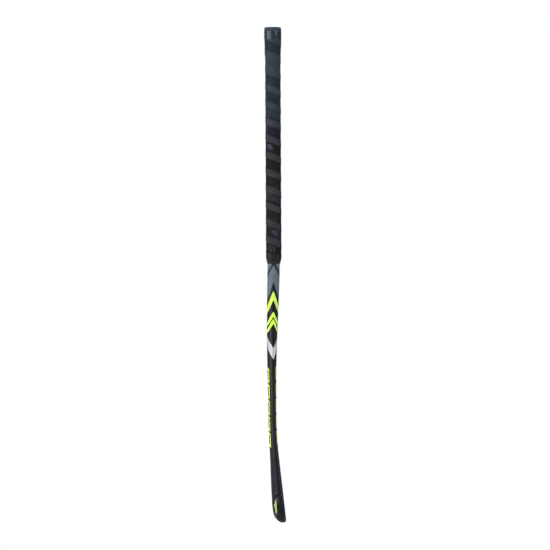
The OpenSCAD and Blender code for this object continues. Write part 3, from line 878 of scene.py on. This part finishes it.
@dataclass
class Transfers:
    """The printed films on the laminate, each a thin closed skin that follows it."""

    form: StickForm
    finishes: Finishes
    effects: Effects
    lift: float = 0.03 * MM
    film_t: float = 0.10 * MM
    arm_end: float = 0.8 * MM
    arm_fall: float = 0.54 * MM
    low_arm_fall: float = 0.38 * MM
    grey_top_fall: float = 0.42 * MM
    grey_low_fall: float = 0.62 * MM
    arm_ease: float = 400.0
    arm_reach: float = 130.0
    short_reach: float = 90.0
    lime_start: float = 53 * MM
    lime_step: float = 39.8 * MM
    lime_h: float = 17 * MM
    thin_lime_h: float = 9.6 * MM
    lime_gap: float = 4 * MM
    silver_clear: float = 2.3 * MM
    silver_h: float = 21.7 * MM
    grey_start: float = 2.5 * MM
    grey_lime_gap: float = 17.5 * MM
    dark_gap: float = 8.5 * MM
    wing_start: float = 0.6 * MM
    wing_from: float = 19.0
    bars_after: float = 36 * MM
    bar_share: float = 0.88
    strip_share: float = 0.8
    bar_span: float = 86.0
    bar_pitch: float = 31 * MM
    bar_count: int = 5
    bar_slant: float = 8 * MM
    bar_rows: int = 6

    def film(self, angles: np.ndarray, low: np.ndarray, high: np.ndarray, rows: int) -> Pair:
        """Outer and inner grid of a film.

        Args:
            angles: Degrees round the section, one for each column.
            low: Path length of each column's first end.
            high: Path length of each column's last end.
            rows: Number of steps along a column.

        Returns:
            The two grids.
        """
        t = np.linspace(0, 1, rows + 1)[:, None]
        s = low[None, :] + (high - low)[None, :] * t
        outer = self.form.skin(s, angles[None, :], -self.lift - self.film_t)
        inner = self.form.skin(s, angles[None, :], -self.lift)
        return outer, inner

    def arm(self, fall: float, away: np.ndarray) -> np.ndarray:
        """How far an arm has fallen at each number of degrees away from the apex."""
        return fall * away * (1 - away / self.arm_ease)

    def chevron(self, name: str, s: float, tall: float, fall: float, reach: float, taper: float) -> Object:
        """A chevron over the toe-side edge, with arms that thin out as they reach round."""
        angles = np.linspace(180 - reach, 180 + reach, int(reach * 1.5) * 2 + 1)
        away = np.abs(angles - 180)
        top = s + self.arm(fall, away)
        height = np.maximum(self.arm_end, tall * (1 - (away / reach) ** taper))
        return join_slabs(name, [self.film(angles, top, top + height, 6)])

    def build(self) -> list[Object]:
        """Makes and dresses every film."""
        lime_s = self.form.grip_length + self.lime_start
        low_s = lime_s + self.lime_step + self.thin_lime_h + self.lime_gap
        silver_s = low_s + 2 * self.arm(self.low_arm_fall, self.short_reach) + self.arm_end + self.silver_clear
        lime = self.finishes.lime.build(self.effects)
        silver = self.finishes.silver.build(self.effects)
        made = [
            place(self.chevron("lime_chevron_upper", lime_s, self.lime_h, self.arm_fall, self.arm_reach, 2),
                  lime, "lime_film", "upper_lime_chevron"),
            place(self.chevron("lime_chevron_middle", lime_s + self.lime_step, self.thin_lime_h,
                               self.low_arm_fall, self.short_reach, 3), lime, "lime_film", "middle_lime_chevron"),
            place(self.chevron("lime_chevron_lower", low_s, self.thin_lime_h, self.low_arm_fall, self.short_reach, 3),
                  lime, "lime_film", "lower_lime_chevron"),
            place(self.chevron("silver_chevron_print", silver_s, self.silver_h,
                               -self.low_arm_fall, self.short_reach, 4), silver, "silver_film", "silver_chevron"),
        ]
        return made + self.grey_films(lime_s) + self.bars(silver_s + self.bars_after) + self.toe_films()

    def grey_films(self, lime_s: float) -> list[Object]:
        """The grey chevron and the two wings above it, with the bare band between them."""
        grey = self.finishes.grey.build(self.effects)
        apex = self.form.grip_length + self.grey_start
        angles = np.linspace(180 - self.arm_reach, 180 + self.arm_reach, 261)
        away = np.abs(angles - 180)
        top = apex + self.arm(self.grey_top_fall, away)
        low = lime_s - self.grey_lime_gap + self.arm(self.grey_low_fall, away)
        chevron = join_slabs("grey_chevron_print", [self.film(angles, top, low, 20)])
        reach = np.linspace(self.wing_from, self.arm_reach, 84)
        wings = []
        for angles in (180 + reach, 180 - reach[::-1]):
            edge = apex - self.dark_gap + self.arm(self.grey_top_fall, np.abs(angles - 180))
            upper = np.full_like(edge, self.form.grip_length + self.wing_start)
            wings.append(self.film(angles, upper, edge, 12))
        return [
            place(chevron, grey, "grey_film", "grey_chevron"),
            place(join_slabs("grey_wing_prints", wings), grey, "grey_film", "grey_wings"),
        ]

    def bars(self, start: float) -> list[Object]:
        """Slanted open frames along the back and plain strips by the face's edge."""
        lime = self.finishes.lime.build(self.effects)
        bar = self.bar_share * self.bar_pitch
        stroke = bar / self.bar_rows
        sides = ((224, 237, True), (237, 303, False), (303, 316, True))
        edge = np.linspace(110, 144, 35)
        bars, strips = [], []  # an upright of a frame is one whole film, and its two crossbars are short ones
        for i in range(self.bar_count):
            first_s = start + i * self.bar_pitch
            for near, far, whole in sides:
                angles = np.linspace(near, far, far - near + 1)
                low = first_s + self.bar_slant * (270 - angles) / self.bar_span
                spans = [(0.0, bar)] if whole else [(0.0, stroke), (bar - stroke, bar)]
                bars += [self.film(angles, low + first, low + last, 16 if whole else 4) for first, last in spans]
            low = np.full_like(edge, first_s)
            strips.append(self.film(edge, low, low + self.strip_share * self.bar_pitch, 30))
        return [
            place(join_slabs("back_bar_prints", bars), lime, "lime_film", "back_bars"),
            place(join_slabs("face_strip_prints", strips), lime, "lime_film", "face_strips"),
        ]

    def toe_films(self) -> list[Object]:
        """The flash and the pale patch on the toe."""
        end = self.form.path_end

        def patch(name: str, angles: list[float], near: list[float], far: list[float]) -> Object:
            """A film between two sets of distances back from the toe."""
            fine = np.linspace(angles[0], angles[-1], 33)
            low = end - np.interp(fine, angles, far) * MM
            high = end - np.interp(fine, angles, near) * MM
            return join_slabs(name, [self.film(fine, low, high, 24)])

        flash = patch("toe_flash_print", [310, 314, 316, 317, 321, 327, 328, 330],
                      [17, 14.7, 13.6, 13, 7.5, 10.5, 11.7, 14], [19.5, 22, 30.5, 30.4, 30.1, 29.6, 29.5, 22])
        pale = patch("toe_patch_print", [315, 318, 320, 324], [32, 31.5, 31.5, 32], [35, 36, 36, 35])
        return [
            place(flash, self.finishes.toe_lime.build(self.effects), "lime_film", "toe_flash"),
            place(pale, self.finishes.pale.build(self.effects), "pale_film", "toe_patch"),
        ]


class Print(Enum):
    """The plain raised patterns on the grip tape."""

    HATCH = "hatch"
    OVAL = "oval"


@dataclass(frozen=True)
class Relief:
    """One raised pattern: its kind, turn, place on the turn, number of bars and the field under it."""

    kind: Print
    turn: int
    offset: float = 0.0
    count: int = 7
    on_pale: bool = False


@dataclass
class WoundGrip:
    """The grip tape: one strip wound down the handle, each turn lapped over the next."""

    form: StickForm
    finishes: Finishes
    effects: Effects
    cap_h: float = 7 * MM
    top_tape_w: float = 17 * MM
    flare_length: float = 48 * MM
    flare_t: float = 1.2 * MM
    pitch: float = 32.42 * MM
    lap: float = 13.2 * MM
    step: float = 0.40 * MM
    body_t: float = 1.4 * MM
    sink: float = 0.05 * MM
    first_edge: float = -192.0 * MM
    steps_per_turn: int = 120
    reliefs: tuple[Relief, ...] = (
        Relief(Print.HATCH, -4, on_pale=True), Relief(Print.HATCH, -1), Relief(Print.OVAL, 1, -0.45),
        Relief(Print.HATCH, 4), Relief(Print.OVAL, 6, 0.18), Relief(Print.HATCH, 7, -0.25, 3))
    hatch_pitch: float = 5.2 * MM
    hatch_lean: float = 3.2 * MM
    hatch_w: float = 1.9 * MM
    oval_r: float = 5.2 * MM

    @property
    def main_r(self) -> float:
        """Outside radius over the main run, from the frame."""
        return (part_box("lower_end_band")[1].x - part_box("lower_end_band")[0].x) / 2

    def base_r(self, z: np.ndarray) -> np.ndarray:
        """Radius of the tape's field at each height, under the lapped band."""
        start = self.cap_h + self.top_tape_w
        flare = self.flare_t * (1 - ramp(start, start + self.flare_length, -z))
        return self.main_r - self.sink + flare

    def points(self, phi: np.ndarray, across: np.ndarray, height: np.ndarray) -> np.ndarray:
        """Points on the winding.

        Args:
            phi: Angle along the winding, 0 where the first named edge crosses the front.
            across: Distance down across the tape.
            height: Height over the tape's field.

        Returns:
            Points with a last axis of 3.
        """
        width = self.pitch + self.lap
        z = self.first_edge + width - self.pitch * phi / TURN - across
        low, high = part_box("grip_tape")[0].z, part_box("grip_tape")[1].z
        z = np.clip(z, low, high)
        r = self.base_r(z) + height
        return np.stack([r * np.sin(phi), -r * np.cos(phi), z], -1)

    def section(self) -> Pair:
        """Closed section of the strip: distance across it and height over its field."""
        width = self.pitch + self.lap
        low_band = np.linspace(self.pitch - 2 * MM, self.pitch + 1.4 * MM, 9)
        outer = [(q, 0.0) for q in np.linspace(0, self.pitch - 3 * MM, 9)]
        outer += [(q, self.step * float(ramp(low_band[0], low_band[-1], q))) for q in low_band]
        outer += [(q, self.step) for q in np.linspace(self.pitch + 3 * MM, width - 0.5 * MM, 5)]
        outer += [(width - 0.2 * MM, self.step * 0.93), (width - 0.04 * MM, self.step * 0.75)]
        outer += [(width, self.step * 0.45)]
        inner = [(width, 0.02 * MM), (self.pitch + 2 * MM, 0.02 * MM)]
        inner += [(self.pitch - 2 * MM, -self.body_t), (0.0, -self.body_t)]
        loop = np.array(outer + inner)
        return loop[:, 0], loop[:, 1]

    def build(self) -> list[Object]:
        """Makes and dresses the tape and its raised prints."""
        across, height = self.section()
        box_low, box_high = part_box("grip_tape")
        start = (self.first_edge - box_high.z) / self.pitch
        end = (self.first_edge + self.pitch + self.lap - box_low.z) / self.pitch
        turns = np.arange(int(start * self.steps_per_turn), int(end * self.steps_per_turn) + 1) / self.steps_per_turn
        phi = turns[:, None] * TURN
        rings = self.points(phi, across[None, :], height[None, :])
        piece = loft("grip_tape_winding", rings)
        self.lay_uv(piece, phi[:, 0], across)
        tidy = bmesh.new()
        tidy.from_mesh(piece.data)
        bmesh.ops.dissolve_degenerate(tidy, edges=tidy.edges, dist=2e-6)
        tidy.to_mesh(piece.data)
        tidy.free()
        tape = self.finishes.tape.build(self.effects)
        return [
            place(piece, tape, "grip_tape", "grip_tape"),
            self.emboss("grip_tape_relief", False, self.finishes.emboss),
            self.emboss("grip_tape_dark_relief", True, self.finishes.dark_emboss),
        ]

    def lay_uv(self, piece: Object, phi: np.ndarray, across: np.ndarray) -> None:
        """Lays the tape out flat in its UV map: metres along it and across it."""
        sides = len(across)
        layer = piece.data.uv_layers.new(name="tape")
        index = np.zeros(len(piece.data.loops), int)
        piece.data.loops.foreach_get("vertex_index", index)
        inside = np.minimum(index, len(phi) * sides - 1)
        uv = np.stack([phi[inside // sides] * self.main_r, across[inside % sides]], -1)
        layer.data.foreach_set("uv", uv.astype(np.float32).ravel())

    def bar(self, phi: float, lean: float, width: float, low: float, high: float) -> Pair:
        """A raised slanted bar on the field of the tape.

        Args:
            phi: Angle along the winding of the bar's middle.
            lean: Distance that its lower end stands ahead of its upper one.
            width: Its width along the tape.
            low: Distance across the tape where it starts.
            high: Distance across the tape where it ends.

        Returns:
            Outer and inner grid.
        """
        t = np.linspace(0, 1, 9)[:, None]
        u = np.linspace(-0.5, 0.5, 5)[None, :]
        along = phi + (u * width + (0.5 - t) * lean) / self.main_r
        across = np.broadcast_to(low + (high - low) * t, along.shape)
        dome = 0.42 * MM * (1 - (2 * np.abs(u)) ** 4) * (1 - (2 * np.abs(t - 0.5)) ** 8) + 0.05 * MM
        return self.points(along, across, dome), self.points(along, across, np.full(along.shape, -0.05 * MM))

    def oval(self, phi: float, radius: float, middle: float) -> Pair:
        """A raised plain oval on the field of the tape, as outer and inner grid."""
        t = np.linspace(0, 1, 9)[:, None]
        a = np.linspace(0, TURN, 33)[None, :]
        reach = 0.02 + 0.98 * t
        along = phi + radius * 1.25 * reach * np.cos(a) / self.main_r
        across = middle + radius * reach * np.sin(a)
        dome = 0.30 * MM * (1 - reach**4) + 0.04 * MM + 0 * a
        return self.points(along, across, dome), self.points(along, across, np.full(along.shape, -0.05 * MM))

    def emboss(self, name: str, on_pale: bool, finish: Finish) -> Object:
        """The raised prints on one of the two fields: slanted hatches and plain ovals.

        Args:
            name: Name of the piece.
            on_pale: Whether it holds the prints on the pale field or those on the dark one.
            finish: The finish of the prints.

        Returns:
            The piece.
        """
        slabs = []
        low, high = self.lap + 2.5 * MM, self.pitch - 4.5 * MM
        for relief in (relief for relief in self.reliefs if relief.on_pale == on_pale):
            for side in (0.0, math.pi):
                middle = (relief.turn + 1) * TURN + side + relief.offset
                if relief.kind is Print.HATCH:
                    for i in range(-(relief.count // 2), relief.count // 2 + 1):
                        phi = middle + i * self.hatch_pitch / self.main_r
                        slabs.append(self.bar(phi, self.hatch_lean, self.hatch_w, low, high))
                else:
                    slabs.append(self.oval(middle, self.oval_r, (low + high) / 2))
        return place(join_slabs(name, slabs), finish.build(self.effects), "grip_tape")


@dataclass
class ButtEnd:
    """The cap, the glossy tape below it and the band that closes the grip's lower end."""

    finishes: Finishes
    effects: Effects
    rim: float = 2.6 * MM
    groove: float = 0.5 * MM
    bead_h: float = 1.8 * MM
    spigot_r: float = 9.2 * MM
    bore_r: float = 6.0 * MM
    band_bore_r: float = 12.1 * MM
    band_proud: float = 0.15 * MM

    def build(self) -> list[Object]:
        """Makes and dresses the three turned pieces."""
        return [self.cap(), self.top_tape(), self.end_band()]

    def cap(self) -> Object:
        """The domed cap with its bead and hollow spigot."""
        low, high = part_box("butt_cap")
        tape_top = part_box("top_tape")[1].z
        r = high.x
        base = tape_top + 0.05 * MM
        crown = [(0.0, high.z), (r - self.rim - 4 * MM, high.z)]
        crown += arc(r - self.rim - 0.25 * MM, high.z - self.rim, self.rim, 90, 5, 12)
        neck = base + self.bead_h
        waist = [(r - 0.25 * MM, neck + 0.7 * MM), (r - self.groove, neck + 0.35 * MM)]
        waist += [(r - self.groove, neck + 0.05 * MM)]
        bead = arc(r - 0.9 * MM, neck - 0.9 * MM, 0.9 * MM, 80, 0, 6)
        bead += arc(r - 0.7 * MM, base + 0.7 * MM, 0.7 * MM, 0, -80, 6)
        spigot = [(self.spigot_r, base), (self.spigot_r, low.z + 0.8 * MM), (self.spigot_r - 0.8 * MM, low.z)]
        spigot += [(self.bore_r, low.z), (self.bore_r, base - 1 * MM), (0.0, base - 1 * MM)]
        piece = lathe("butt_cap_moulding", crown + waist + bead + spigot)
        return place(piece, self.finishes.cap.build(self.effects), "cap_polymer", "butt_cap")

    def top_tape(self) -> Object:
        """The glossy tape, with softly rolled edges."""
        low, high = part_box("top_tape")
        r = high.x
        r_in = r - 0.5 * MM
        roll = 0.45 * MM
        profile = [(r_in, high.z)] + arc(r - roll, high.z - roll, roll, 85, 5, 5)
        profile += [(r + 0.02 * MM, (low.z + high.z) / 2)]
        profile += arc(r - roll, low.z + roll, roll, -5, -85, 5) + [(r_in, low.z)]
        piece = lathe("top_tape_ring", profile, 160)
        return place(piece, self.finishes.gloss_tape.build(self.effects), "gloss_tape", "top_tape")

    def end_band(self) -> Object:
        """The plain band at the grip's lower end."""
        low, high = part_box("lower_end_band")
        r, r_in = high.x + self.band_proud, self.band_bore_r
        drop = 0.6 * (high.z - low.z)
        foot = r_in + 0.4 * MM
        edge = [(foot + (r - foot) * (1.1 * k - 0.1 * k**6), low.z + drop * k) for k in np.linspace(1, 0, 17)]
        profile = [(r_in, low.z), (r_in, high.z), (r - 0.3 * MM, high.z), (r, high.z - 0.4 * MM)] + edge
        piece = lathe("end_band_ring", profile)
        return place(piece, self.finishes.end_band.build(self.effects), "end_band", "lower_end_band")


@dataclass
class Inside:
    """The pieces inside the stick, which keep their CAD shapes."""

    finishes: Finishes
    effects: Effects

    def build(self) -> None:
        """Dresses every inner node."""
        dress = {
            "heel_side_tube": self.finishes.tube,
            "toe_side_tube": self.finishes.tube,
            "head_ply": self.finishes.ply,
            "head_foam_core": self.finishes.foam,
            "handle_foam_plug": self.finishes.foam,
            "handle_damper": self.finishes.rubber,
            "grip_underlay": self.finishes.cushion,
        }
        for name, finish in dress.items():
            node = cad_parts[name]
            for slot in node.material_slots:
                slot.material = finish.build(self.effects)
            LOG.info("%s: carried over", name)


@dataclass
class Studio:
    """Pale floor and backdrop, soft lights and the camera, with centre as the stick's place across the view."""

    form: StickForm
    distance: float = 8.0
    field_h: float = 1.0595
    drop: float = 1.06 * MM
    centre: float = 0.50018
    roll: float = math.radians(0.27)

    def build(self) -> None:
        """Makes the set, the lights and the camera."""
        self.sweep()
        self.light("key", (-2.6, -1.1, 0.1), (1.0, 2.4), 52.0)
        self.light("fill", (1.3, -1.2, 0.45), (0.7, 0.7), 8.5, -0.05)
        self.light("kick", (1.5, -0.85, -0.84), (0.5, 0.2), 9.0, -0.92)
        self.light("side", (-2.0, -0.2, -0.85), (0.5, 0.6), 9.0, -0.86)
        self.light("top", (0.5, -1.2, 1.6), (1.4, 1.0), 12.0)
        self.light("front", (-2.4, -3.0, 0.1), (1.6, 2.4), 54.0)
        self.world()
        self.camera()

    def sweep(self) -> None:
        """A floor that curves up into the backdrop, plain white to the camera and see-through from outside."""
        floor_z = -self.form.length - 0.5 * MM
        depth, height, bend, half = 3.2, 4.5, 1.2, 6.0
        line = [(-7.0, floor_z), (depth - bend, floor_z)]
        line += [(depth - bend + bend * math.sin(a), floor_z + bend - bend * math.cos(a))
                 for a in np.radians(np.linspace(5, 90, 18))]
        line += [(depth, floor_z + height)]
        grid = np.array([[(x, y, z) for x in (-half, half)] for y, z in line])
        faces = [(2 * i, 2 * i + 1, 2 * i + 3, 2 * i + 2) for i in range(len(line) - 1)]
        piece = make_object("studio_sweep", grid.reshape(-1, 3), faces)
        paper = bpy.data.materials.new("studio_paper")
        paper.use_nodes = True
        nodes = Nodes(paper.node_tree)
        shade = nodes.add("BsdfDiffuse", {0: (0.90, 0.90, 0.90, 1.0)}).outputs[0]
        glow = nodes.add("Emission", {0: (1.0, 1.0, 1.0, 1.0), 1: 1.0}).outputs[0]
        seen = nodes.add("LightPath").outputs["Is Camera Ray"]
        # The sheet's normals point away from the stick, so the side towards it counts as the back.
        inner = nodes.add("NewGeometry").outputs["Backfacing"]
        clear = nodes.add("BsdfTransparent").outputs[0]
        view = nodes.add("MixShader", {0: inner, 1: clear, 2: glow}).outputs[0]
        both = nodes.add("MixShader", {0: seen, 1: shade, 2: view})
        nodes.add("OutputMaterial", {0: both.outputs[0]})
        piece.data.materials.append(paper)

    @staticmethod
    def light(
        name: str, where: tuple[float, float, float], size: tuple[float, float], power: float, aim_z: float = -0.48
    ) -> None:
        """A soft rectangular light.

        Args:
            name: Name of the light.
            where: Its place.
            size: Its width and height.
            power: Its power in watts.
            aim_z: Height on the stick's axis that it is aimed at.
        """
        lamp = bpy.data.lights.new(name, "AREA")
        lamp.shape = "RECTANGLE"
        lamp.size, lamp.size_y = size
        lamp.energy = power
        lamp.color = (0.96, 0.985, 1.03)
        made = bpy.data.objects.new(name, lamp)
        bpy.context.scene.collection.objects.link(made)
        made.location = where
        aim = Vector((0, 0, aim_z)) - Vector(where)
        made.rotation_euler = aim.to_track_quat("-Z", "Y").to_euler()

    @staticmethod
    def world() -> None:
        """Surroundings that light the stick dimly and look plain white to the camera."""
        world = bpy.data.worlds.new("surroundings")
        world.use_nodes = True
        world.node_tree.nodes.clear()
        nodes = Nodes(world.node_tree)
        dim = nodes.add("Background", {0: (1.0, 1.0, 1.0, 1.0), 1: 0.05}).outputs[0]
        plain = nodes.add("Background", {0: (1.0, 1.0, 1.0, 1.0), 1: 1.0}).outputs[0]
        seen = nodes.add("LightPath").outputs["Is Camera Ray"]
        both = nodes.add("MixShader", {0: seen, 1: dim, 2: plain})
        nodes.add("OutputWorld", {0: both.outputs[0]})
        bpy.context.scene.world = world

    def camera(self) -> None:
        """A long lens level with the middle of the stick, looking at the toe-side edge."""
        low, high = CAD_BOX
        lens = bpy.data.cameras.new("camera")
        lens.sensor_width = 36.0
        lens.lens = lens.sensor_width * self.distance / self.field_h
        lens.clip_end = 50.0
        made = bpy.data.objects.new("camera", lens)
        bpy.context.scene.collection.objects.link(made)
        aim_x = (low.x + high.x) / 2 + (0.5 - self.centre) * self.field_h
        made.location = (aim_x, -self.distance, (low.z + high.z) / 2 - self.drop)
        made.rotation_euler = (math.radians(90), self.roll, 0.0)
        bpy.context.scene.camera = made


def main() -> None:
    """Builds the stick and its set, and reports each piece."""
    logging.basicConfig(level=logging.INFO, format="%(name)s: %(message)s")
    form = StickForm(length=-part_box("outer_laminate")[0].z, grip_length=-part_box("lower_end_band")[0].z)
    finishes, effects = Finishes(), Effects()
    Laminate(form, finishes, effects).build()
    Transfers(form, finishes, effects).build()
    WoundGrip(form, finishes, effects).build()
    ButtEnd(finishes, effects).build()
    Inside(finishes, effects).build()
    Studio(form).build()
    scene = bpy.context.scene
    scene.view_settings.view_transform = "Standard"
    scene.view_settings.look = "None"


if __name__ == "__main__":
    main()
